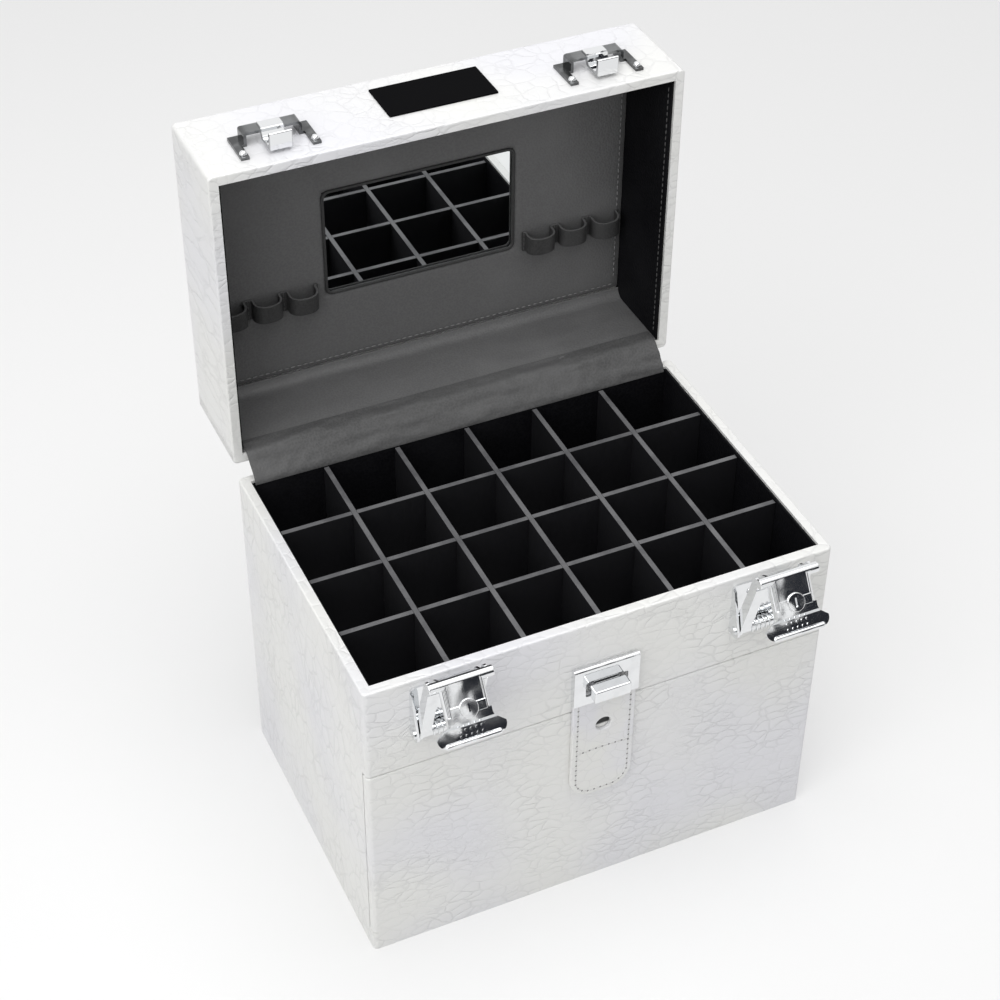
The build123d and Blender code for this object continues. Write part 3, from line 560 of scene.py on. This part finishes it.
def walk(points, pitch):
    """Places and directions at an even pitch along a line of points."""
    points = [Vector(p) for p in points]
    runs = [(b - a).length for a, b in zip(points, points[1:])]
    total = sum(runs)
    count = max(1, round(total / pitch))
    places = []
    for number in range(count):
        rest = (number + 0.5) * total / count
        index = 0
        while rest > runs[index] and index < len(runs) - 1:
            rest -= runs[index]
            index += 1
        way = (points[index + 1] - points[index]).normalized()
        places.append((points[index] + way * rest, way))
    return places


def beads(name, places, out, half_length, half_width, half_height, material):
    """Small smooth ovals along a line: stitches, or dots of painted shade for the needle holes between them."""
    out = Vector(out).normalized()
    shape = bmesh.new()
    for place, way in places:
        side = out.cross(way).normalized()
        matrix = Matrix((way * half_length, side * half_width, out * half_height)).transposed().to_4x4()
        matrix.translation = place
        bmesh.ops.create_uvsphere(shape, u_segments=8, v_segments=5, radius=1.0, matrix=matrix)
    mesh = bpy.data.meshes.new(name)
    shape.to_mesh(mesh)
    shape.free()
    mesh.shade_smooth()
    return link_piece(name, mesh, material)


def stitch_row(name, points, out, lining, material, body):
    """A sewn seam that rides on a body."""
    half_width, half_height = 0.00036, 0.0003
    row = beads(name, walk(points, lining.pitch), out, lining.stitch / 2, half_width, half_height, material)
    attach(row, body)


def cover(nodes, material):
    """Put a finish on CAD nodes."""
    for node in nodes:
        mesh = frame["nodes"][node].data
        mesh.materials.clear()
        mesh.materials.append(material)


def smooth_share(value):
    """A share clamped to 0 and 1, eased at both ends."""
    value = min(1.0, max(0.0, value))
    return value * value * (3 - 2 * value)


def ripple(x, y, z, size):
    """Soft noise between about -1 and 1."""
    return noise.noise(Vector((x, y, z)) / size)


def joint_place(name):
    """A place on a joint's axis."""
    return next(joint for joint in frame["joints"] if joint["name"] == name)["pos_m"]


def finish_named(name):
    """A finish that an earlier operator made."""
    return bpy.data.materials[name]


class CaseOperator(bpy.types.Operator):
    """What the case's operators share."""

    bl_options = {"REGISTER", "UNDO"}


class MESH_OT_case_finishes(CaseOperator):
    """Make the finishes that the pieces share"""

    bl_idname = "mesh.case_finishes"
    bl_label = "Finishes"

    def execute(self, context):
        scene = context.scene
        skin, lining, metal = scene.case_skin, scene.case_lining, scene.case_metal
        pearl_leatherette(skin)
        strap_leatherette(skin)
        lining_leatherette(lining, "charcoal_lining", lining.charcoal, 1.3, 0.4)
        lining_leatherette(lining, "black_lining", lining.black, 1.8, 0.05)
        # painted shade: the gusset's lining is painted darker than the lid's charcoal
        lining_leatherette(lining, "gusset_lining", scaled(lining.charcoal, 0.6), 1.5, 0.3)
        dark = scaled(lining.charcoal, 0.30)
        lining_leatherette(lining, "loop_lining", dark, 1.5, 0.3)
        lining_leatherette(lining, "strip_lining", dark, 1.5, 0.3, True)
        divider_board(lining)
        plating("bright_chrome", metal.chrome, metal.polish, 0.03)
        plating("satin_chrome", metal.satin, 6 * metal.polish, 0.08)
        low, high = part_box("keeper_right")
        keeper_plating(metal, (low.x + high.x) / 2)
        looking_glass(metal)
        plate_enamel(metal)
        sewing_thread("lining_thread", lining.thread)
        sewing_thread("panel_thread", scaled(lining.thread, 2.6))
        sewing_thread("strap_thread", lining.strap_thread)
        sewing_thread("needle_shade", scaled(lining.strap_thread, 0.35))
        punched_shade(skin)
        return {"FINISHED"}


class MESH_OT_case_outside(CaseOperator):
    """Cover the boards of the case, the door and the carry handle with pearl leatherette"""

    bl_idname = "mesh.case_outside"
    bl_label = "Outside"

    boards = ("base_left_side", "base_right_side", "base_back", "base_floor", "front_rail", "front_sill",
              "door_panel", "lid_top", "lid_front", "lid_back", "lid_left_side", "lid_right_side",
              "carry_handle")

    def execute(self, context):
        cover(self.boards, finish_named("pearl_leatherette"))
        return {"FINISHED"}


class MESH_OT_case_door_strip(CaseOperator):
    """Lay the leatherette strip that bends between the sill and the door"""

    bl_idname = "mesh.case_door_strip"
    bl_label = "Door hinge strip"

    def execute(self, context):
        low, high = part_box("door_hinge_strip")
        middle = (low.z + high.z) / 2
        bend = 0.0015
        across = lines(low.x, high.x, 0.012)
        near = [middle + bend / 5 * step for step in range(-8, 9)]
        along = lines(low.z, high.z, bend, near)
        strip = grid_piece("door_hinge_wrap", across, along, lambda x, z: Vector((x, low.y, z)),
                           finish_named("pearl_leatherette"))
        thicken(strip, high.y - low.y, -1.0, soft=False)
        strip.data.set_sharp_from_angle(angle=SHARP)
        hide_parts("door_hinge_strip")
        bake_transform(strip)
        return {"FINISHED"}


class MESH_OT_case_linings(CaseOperator):
    """Line the tray, the lower bay and the lid's walls, and finish the dividers"""

    bl_idname = "mesh.case_linings"
    bl_label = "Linings"

    def execute(self, context):
        lining = context.scene.case_lining
        black = finish_named("black_lining")
        cover(("tray_linings", "bay_linings", "door_lining", "lid_wall_linings"), black)
        dividers = [n for n in frame["nodes"] if "divider" in n]
        cover(["tray_floor", *dividers], finish_named("divider_board"))
        thread = finish_named("lining_thread")
        low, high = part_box("lid_wall_linings")
        wall, end = 0.00105, 0.004
        front = low.y + 0.003
        top = high.z - 0.0012
        for name, x, out in (("left", low.x + wall, (1, 0, 0)), ("right", high.x - wall, (-1, 0, 0))):
            stitch_row(f"lid_{name}_wall_stitches", ((x, front, low.z + end), (x, front, top - end)), out,
                       lining, thread, "lid")
        stitch_row("lid_front_wall_stitches", ((low.x + end, front, top), (high.x - end, front, top)),
                   (0, 0, -1), lining, thread, "lid")
        return {"FINISHED"}


class MESH_OT_case_lid_panel(CaseOperator):
    """Cover the lid's inner panel with softly puckered lining round the looking glass"""

    bl_idname = "mesh.case_lid_panel"
    bl_label = "Lid panel and looking glass"

    def execute(self, context):
        lining = context.scene.case_lining
        low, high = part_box("lid_panel")
        glass_low, glass_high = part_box("mirror")
        lap = 0.002
        x0, x1 = glass_low.x + lap, glass_high.x - lap
        z0, z1 = glass_low.z + lap, glass_high.z - lap
        steps = (0.0, 0.0005, 0.0011, 0.0021)
        across = lines(low.x, high.x, 0.0028, [x0 - s for s in steps] + [x1 + s for s in steps])
        along = lines(low.z, high.z, 0.0028, [z0 - s for s in steps] + [z1 + s for s in steps])

        def place(x, z):
            border = min(x - low.x, high.x - x, z - low.z, high.z - z)
            rim = max(x0 - x, x - x1, z0 - z, z - z1)
            rolled = 0.0011 * (1 - smooth_share(border / 0.0035)) + 0.0006 * (1 - smooth_share(rim / 0.0022))
            wave = math.sin(2 * math.pi * (x + z) / lining.pitch)
            pucker = wave * 0.00012 * (1 - smooth_share(border / 0.008))
            soft = lining.wrinkle * (0.5 + 0.5 * ripple(x, 0.3, z, 0.045))
            soft *= smooth_share(border / 0.012) * smooth_share(rim / 0.012)
            return Vector((x, low.y + 0.0002 + rolled + pucker - soft, z))

        panel = grid_piece("lid_panel_lining", across, along, place, finish_named("charcoal_lining"),
                           lambda x, z: not (x0 < x < x1 and z0 < z < z1))
        thicken(panel, 0.0012, -1.0)
        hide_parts("lid_panel")
        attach(panel, "lid")
        cover(("mirror",), finish_named("looking_glass"))
        self.hem((x0, x1, z0, z1), low.y + 0.0008)
        thread = finish_named("panel_thread")
        inset, end = 0.0034, 0.004
        front = low.y - 0.0001
        bottom = low.z + inset
        left, right = low.x + inset, high.x - inset
        stitch_row("lid_panel_lower_stitches", ((left, front, bottom), (right, front, bottom)), (0, -1, 0),
                   lining, thread, "lid")
        for name, x in (("left", left), ("right", right)):
            stitch_row(f"lid_panel_{name}_stitches", ((x, front, bottom + end), (x, front, high.z - end)),
                       (0, -1, 0), lining, thread, "lid")
        return {"FINISHED"}

    def hem(self, window, depth):
        """The rolled hem with round corners that frames the looking glass."""
        x0, x1, z0, z1 = window
        lap, reach, corner = 0.0010, 0.0005, 0.0030
        outer = rounded_box(x0 - lap, x1 + lap, z0 - lap, z1 + lap, (corner + lap,) * 4)
        inner = rounded_box(x0 + reach, x1 - reach, z0 + reach, z1 - reach, (corner,) * 4)
        # the hem takes the darker loop lining, which also stands as painted shade for the gap round the glass
        hem = cut_sheet("looking_glass_hem", (outer, inner), 0.0014, 0.0005, upright_plane(depth),
                        finish_named("loop_lining"))
        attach(hem, "lid")


class MESH_OT_case_lid_back(CaseOperator):
    """Lay the lid's rear lining, with its cove and soft wrinkles"""

    bl_idname = "mesh.case_lid_back"
    bl_label = "Lid rear lining"

    def execute(self, context):
        lining = context.scene.case_lining
        low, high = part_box("lid_back_lining")
        panel_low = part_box("lid_panel")[0]
        radius = panel_low.z - (low.z + 0.001)
        flat = panel_low.z - radius
        face = panel_low.y
        wall = face - radius - low.y
        arc = radius * math.pi / 2
        total = wall + arc

        def profile(s):
            """Place and outward way on the lining, s metres from the lid's rim."""
            if s < wall:
                return low.y + s, flat, (0.0, 1.0)
            angle = (s - wall) / radius
            return (low.y + wall + radius * math.sin(angle), flat + radius * (1 - math.cos(angle)),
                    (-math.sin(angle), math.cos(angle)))

        def place(x, s):
            y, z, (out_y, out_z) = profile(s)
            edge = smooth_share(min(x - low.x, high.x - x) / 0.006) * smooth_share(min(s, total - s) / 0.005)
            lift = lining.wrinkle * edge * (ripple(x, s, 0.1, 0.022) + 0.8 * ripple(x * 0.5, s, 0.7, 0.009))
            return Vector((x, y + out_y * lift, z + out_z * lift))

        across = lines(low.x, high.x, 0.003)
        along = lines(0.0, total, 0.0016)
        sheet = grid_piece("lid_rear_lining", across, along, place, finish_named("charcoal_lining"))
        thicken(sheet, 0.0008, -1.0)
        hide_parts("lid_back_lining")
        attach(sheet, "lid")
        return {"FINISHED"}


class MESH_OT_case_gusset(CaseOperator):
    """Hang the wrinkled leatherette gusset between the rear rims"""

    bl_idname = "mesh.case_gusset"
    bl_label = "Gusset"

    def execute(self, context):
        lining = context.scene.case_lining
        low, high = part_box("hinge_gusset")
        hinge = joint_place("lid_hinge")
        inset, blur = 0.0008, 0.0022
        knee = Vector((0.0, low.y + inset, hinge[2]))
        lip = Vector((0.0, hinge[1] + 0.0005, high.z - inset))
        start = Vector((0.0, low.y + inset, low.z))
        end = Vector((0.0, high.y, high.z - inset))
        corners = (start, knee, lip, end)
        spans = [(b - a).length for a, b in zip(corners, corners[1:])]
        total = sum(spans)

        def along_path(s):
            """The place s metres from the start."""
            for a, b, span in zip(corners, corners[1:], spans):
                if s <= span or b is corners[-1]:
                    return a.lerp(b, min(1.0, s / span))
                s -= span

        def place(x, s):
            before, after = along_path(max(0.0, s - blur)), along_path(min(total, s + blur))
            point = (before + along_path(s) * 2 + after) / 4
            ends = smooth_share(min(s, total - s) / 0.004)
            fold = ripple(x * 0.45, s * 2.2, 0.4, 0.010) + 0.6 * ripple(x, s, 2.0, 0.005)
            lift = 2.4 * lining.wrinkle * ends * fold
            return Vector((x, point.y - 0.7 * lift, point.z + 0.7 * lift))

        across = lines(low.x, high.x, 0.0022)
        along = lines(0.0, total, 0.0012)
        gusset = grid_piece("rear_gusset", across, along, place, finish_named("gusset_lining"))
        thicken(gusset, 0.0006, 0.0)
        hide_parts("hinge_gusset")
        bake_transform(gusset)
        return {"FINISHED"}


class MESH_OT_case_brush_loops(CaseOperator):
    """Sew the two strips of brush loops to the lid's panel"""

    bl_idname = "mesh.case_brush_loops"
    bl_label = "Brush loops"

    half_loop = ((-1.0, 0.0), (-0.97, 0.22), (-1.0, 0.45), (-0.86, 0.75), (-0.5, 0.95))

    def execute(self, context):
        lining = context.scene.case_lining
        for side in ("left", "right"):
            self.strip(side, lining)
        return {"FINISHED"}

    def strip(self, side, lining):
        """One strip: three loops, flat between them, and the tacks that hold it."""
        node = f"brush_loops_{side}"
        low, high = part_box(node)
        loops = 3
        pitch = (high.x - low.x) / loops
        sheet = 0.0013
        gap, trim, edge = 0.0004, 0.0006, 0.0012
        back = high.y - sheet / 2
        reach = high.y - low.y - sheet
        shape = (*self.half_loop, (0.0, 1.0), *((-x, y) for x, y in reversed(self.half_loop)))
        path = []
        for number in range(loops):
            centre = low.x + pitch * (number + 0.5)
            half = 0.00725 * (1.0 - 0.03 * (number % 2))
            deep = reach * (1.0 - 0.05 * ((number + 1) % 3))
            path.append((centre - pitch / 2 + gap, back, 0.0))
            path.extend((centre + half * x, back - deep * y, 0.0) for x, y in shape)
            path.append((centre + pitch / 2 - gap, back, 0.0))
        points = [v.co.copy() for v in curve_mesh(smooth_curve("loop_path", path, 4)).vertices]
        runs = list(range(len(points)))
        heights = lines(0.0, 1.0, 0.125)

        def place(index, v):
            point = points[round(index)]
            out = (back - point.y) / reach
            sway = 0.0004 * out * ripple(point.x, v * 0.01, 0.2, 0.012)
            dip = 0.0011 * out * (1.0 if v > 0.5 else -0.6) * abs(2 * v - 1)
            return Vector((point.x + sway, point.y, low.z + trim + (high.z - low.z - 2 * trim) * v - dip))

        strip = grid_piece(f"brush_loop_strip_{side}", runs, heights, place, finish_named("strip_lining"))
        thicken(strip, sheet, 0.0)
        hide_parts(node)
        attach(strip, "lid")
        tacks = []
        for number in range(loops + 1):
            x = low.x + min(max(pitch * number, edge), high.x - low.x - edge)
            for step in range(4):
                z = low.z + 0.002 + step * (high.z - low.z - 0.004) / 3
                tacks.append((Vector((x, back - sheet / 2, z)), Vector((0.0, 0.0, 1.0))))
        seam = beads(f"brush_loop_tacks_{side}", tacks, (0, -1, 0), lining.stitch / 2, 0.0003, 0.0003,
                     finish_named("lining_thread"))
        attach(seam, "lid")


class MESH_OT_case_strap(CaseOperator):
    """Cut and sew the clasp strap"""

    bl_idname = "mesh.case_strap"
    bl_label = "Clasp strap"

    def execute(self, context):
        lining = context.scene.case_lining
        low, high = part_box("clasp_strap")
        boss_low, boss_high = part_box("lock_boss")
        half_wide, half_high = 0.011, 0.0045
        middle = (boss_low.z + boss_high.z) / 2
        end_round, corner, steps = 0.012, 0.001, 12
        upright = upright_plane(high.y)
        outline = rounded_box(low.x, high.x, low.z, high.z, (end_round, end_round, corner, corner), steps)
        window = rounded_box(-half_wide, half_wide, middle - half_high, middle + half_high, (corner,) * 4, 4)
        hole = circle(0.0, HOLE_HEIGHT, HOLE_RADIUS)
        strap = cut_sheet("strap_leather", (outline, window, hole), high.y - low.y, 0.0007, upright,
                          finish_named("strap_leatherette"))
        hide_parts("clasp_strap")
        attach(strap, "door")
        inset = 0.0027
        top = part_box("clasp_plate")[0].z - 0.0008
        turn = end_round - inset
        left, right = low.x + inset, high.x - inset
        corners = rounded_box(left, right, low.z + inset, top, (turn, turn, 0.0, 0.0), steps)
        lower = corners[:2 * (steps + 1)]
        edge = [Vector((x, low.y, z)) for x, z in ((left, top), *lower, (right, top))]
        seam, sag = HOLE_HEIGHT - 0.0155, 0.05
        cross = [Vector((x, low.y, seam - sag * x * x / high.x)) for x in lines(left, right, 0.003)]
        thread = finish_named("strap_thread")
        shade = finish_named("needle_shade")
        needle, proud = 0.00055, 0.00014
        for name, points in (("edge", edge), ("cross", cross)):
            stitch_row(f"strap_{name}_stitches", points, (0, -1, 0), lining, thread, "door")
            places = [(p + w * (lining.pitch / 2), w) for p, w in walk(points, lining.pitch)]
            # the needle holes are grey dots of painted shade
            dots = beads(f"strap_{name}_needle_holes", places, (0, -1, 0), needle, needle, proud, shade)
            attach(dots, "door")
        # a disc at the bottom of the hole, with painted shade under the upper rim
        backing = circle(0.0, HOLE_HEIGHT, HOLE_RADIUS - 0.0001)
        bottom = cut_sheet("strap_hole_backing", (backing,), 0.0003, 0.0001, upright,
                           finish_named("punched_shade"))
        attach(bottom, "door")
        return {"FINISHED"}


class MESH_OT_case_hardware(CaseOperator):
    """Plate the latches, keepers, hinges, clasp and lock, and wind the latch springs"""

    bl_idname = "mesh.case_hardware"
    bl_label = "Hardware"

    def execute(self, context):
        metal = context.scene.case_metal
        plated = [p["node"] for p in frame["record"]["subparts"] if p["material_slot"] == "chrome"]
        cover(plated, finish_named("bright_chrome"))
        leaves = [f"hinge_{side}_{half}_leaf" for half in ("base", "lid") for side in ("left", "right")]
        cover(leaves, finish_named("satin_chrome"))
        cover(("keeper_left", "keeper_right"), finish_named("keeper_plating"))
        for node in plated:
            soften(frame["nodes"][node], 0.00022)
        for side in ("left", "right"):
            self.spring(side, metal)
        return {"FINISHED"}

    def spring(self, side, metal):
        """A coil of wire round the latch's lower pin, with one leg against the plate."""
        x, y, z = joint_place(f"latch_{side}_swing")
        half, radius, leg, per_turn = 0.0085, 0.0031, 0.009, 12
        steps = per_turn * metal.spring_turns
        points = []
        for step in range(steps + 1):
            angle = 2 * math.pi * step / per_turn
            points.append((x - half + 2 * half * step / steps,
                           y + radius * math.cos(angle), z + radius * math.sin(angle)))
        points.append((x + half, y + radius, z + leg))
        curve = smooth_curve(f"latch_{side}_spring", points, 12)
        curve.bevel_depth = 0.00038
        curve.bevel_resolution = 2
        spring = link_piece(curve.name, curve, finish_named("bright_chrome"))
        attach(spring, "base")


class MESH_OT_case_bare_plate(CaseOperator):
    """Fix the bare enamelled plate to the front of the lid"""

    bl_idname = "mesh.case_bare_plate"
    bl_label = "Bare plate"

    def execute(self, context):
        low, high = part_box("lid_front")
        x0, x1 = -0.0262, 0.0290
        y0, y1 = low.y + 0.0156, low.y + 0.0423
        plate = cut_sheet("bare_plate", (rounded_box(x0, x1, y0, y1, (0.0006,) * 4, 3),), 0.0008, 0.0002,
                          Matrix.Translation((0.0, 0.0, high.z)), finish_named("plate_enamel"))
        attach(plate, "lid")
        return {"FINISHED"}


class SCENE_OT_case_stage(CaseOperator):
    """Set the pale floor, the soft lamps and the camera"""

    bl_idname = "scene.case_stage"
    bl_label = "Stage"

    dark_sectors = ((-78, -58), (-44, -36), (-22, -12), (-2, 6), (13.8, 21), (26.4, 33), (44, 60), (75, 92))
    card_heights = (0.05, 0.6, 1.15, 1.7)

    def execute(self, context):
        stage = context.scene.case_stage
        self.floor(stage)
        self.sky(context.scene, stage)
        self.lamp("key_lamp", stage.key, 1.3, (-1.15, -0.75, 1.25))
        self.lamp("top_lamp", stage.top, 1.5, (0.05, -0.10, 1.75))
        self.flags()
        self.camera(context.scene, stage)
        context.scene.view_settings.view_transform = "Standard"
        return {"FINISHED"}

    def floor(self, stage):
        """A pale floor that glows a little where it is looked at."""
        finish = Finish("pale_floor")
        mottle = finish.noise(finish.place(), 0.6, 2.0)
        tone = finish.mixed(mottle, stage.floor, scaled(stage.floor, 0.97))
        glow = finish.mixed(finish.seen(), (0.0, 0.0, 0.0), (stage.floor_glow,) * 3)
        finish.feed(Base_Color=tone, Roughness=mottle * 0.1 + 0.75,
                    Emission_Color=glow, Emission_Strength=1.0)
        reach = [-4.0 + 0.5 * step for step in range(17)]
        floor = grid_piece("floor", reach, reach, lambda x, y: Vector((x, y, 0.0)), finish.material)

    def sky(self, scene, stage):
        """Even light from all round, white where it is looked at."""
        world = bpy.data.worlds.new("studio")
        scene.world = world
        world.use_nodes = True
        nodes = Nodes(world.node_tree, "ShaderNodeBackground")
        nodes.feed(Color=(1.0, 1.0, 1.0), Strength=nodes.step(nodes.seen(), 0.0, 1.0, stage.sky, 1.0))

    def flags(self):
        """Dark cards round the front of the set, which only shine back from metal and gloss."""
        finish = Finish("dark_card")
        grain = finish.noise(finish.place(), 0.01)
        tone = finish.mixed(grain, (0.008, 0.010, 0.016), (0.016, 0.018, 0.026))
        finish.feed(Base_Color=tone, Roughness=0.9)
        for number, (start, end) in enumerate(self.dark_sectors):
            turns = [math.radians(d) for d in lines(start, end, 4.0)]
            card = grid_piece(f"dark_card_{number}", turns, self.card_heights, self.around, finish.material)
            card.visible_camera = False
            card.visible_diffuse = False
            card.visible_shadow = False

    def around(self, turn, height):
        """A place on the ring of cards, by its turn from the front."""
        return Vector((CARD_RING * math.sin(turn), -CARD_RING * math.cos(turn), height))

    def lamp(self, name, power, size, place):
        """A square lamp that points at the case."""
        data = bpy.data.lights.new(name, "AREA")
        data.energy = power
        data.size = size
        lamp = linked(name, data)
        lamp.location = place
        lamp.rotation_euler = (Vector(LAMP_AIM) - Vector(place)).to_track_quat("-Z", "Y").to_euler()

    def camera(self, scene, stage):
        """The camera of the photo."""
        a, e, r = stage.azimuth, stage.elevation, stage.roll
        back = Vector((math.sin(a) * math.cos(e), -math.cos(a) * math.cos(e), math.sin(e)))
        right = (-back).cross(Vector((0.0, 0.0, 1.0))).normalized()
        up = right.cross(-back)
        rolled_right = math.cos(r) * right + math.sin(r) * up
        rolled_up = -math.sin(r) * right + math.cos(r) * up
        data = bpy.data.cameras.new("photo_view")
        data.sensor_width = 36.0
        data.lens = stage.lens
        camera = linked("photo_view", data)
        turn = Matrix((rolled_right, rolled_up, back)).transposed().to_4x4()
        turn.translation = Vector(stage.eye)
        camera.matrix_world = turn
        scene.camera = camera


operators = (MESH_OT_case_finishes, MESH_OT_case_outside, MESH_OT_case_door_strip, MESH_OT_case_linings,
             MESH_OT_case_lid_panel, MESH_OT_case_lid_back, MESH_OT_case_gusset, MESH_OT_case_brush_loops,
             MESH_OT_case_strap, MESH_OT_case_hardware, MESH_OT_case_bare_plate, SCENE_OT_case_stage)


class VIEW3D_PT_case_dressing(bpy.types.Panel):
    """The case's settings and operators"""

    bl_label = "Polish case"
    bl_idname = "VIEW3D_PT_case_dressing"
    bl_space_type = "VIEW_3D"
    bl_region_type = "UI"
    bl_category = "Polish case"

    def draw(self, context):
        scene = context.scene
        for group in (scene.case_skin, scene.case_lining, scene.case_metal, scene.case_stage):
            box = self.layout.box()
            for key in group.__annotations__:
                box.prop(group, key)
        for operator in operators:
            self.layout.operator(operator.bl_idname)


settings = (("case_skin", CaseSkin), ("case_lining", CaseLining), ("case_metal", CaseMetal),
            ("case_stage", CaseStage))
classes = tuple(group for name, group in settings) + operators + (VIEW3D_PT_case_dressing,)


def register():
    for item in classes:
        bpy.utils.register_class(item)
    for name, group in settings:
        setattr(bpy.types.Scene, name, PointerProperty(type=group))


def unregister():
    for name, _ in settings:
        delattr(bpy.types.Scene, name)
    for item in reversed(classes):
        bpy.utils.unregister_class(item)


def main():
    """Dress the case."""
    register()
    for operator in operators:
        family, name = operator.bl_idname.split(".")
        getattr(getattr(bpy.ops, family), name)()


if __name__ == "__main__":
    main()
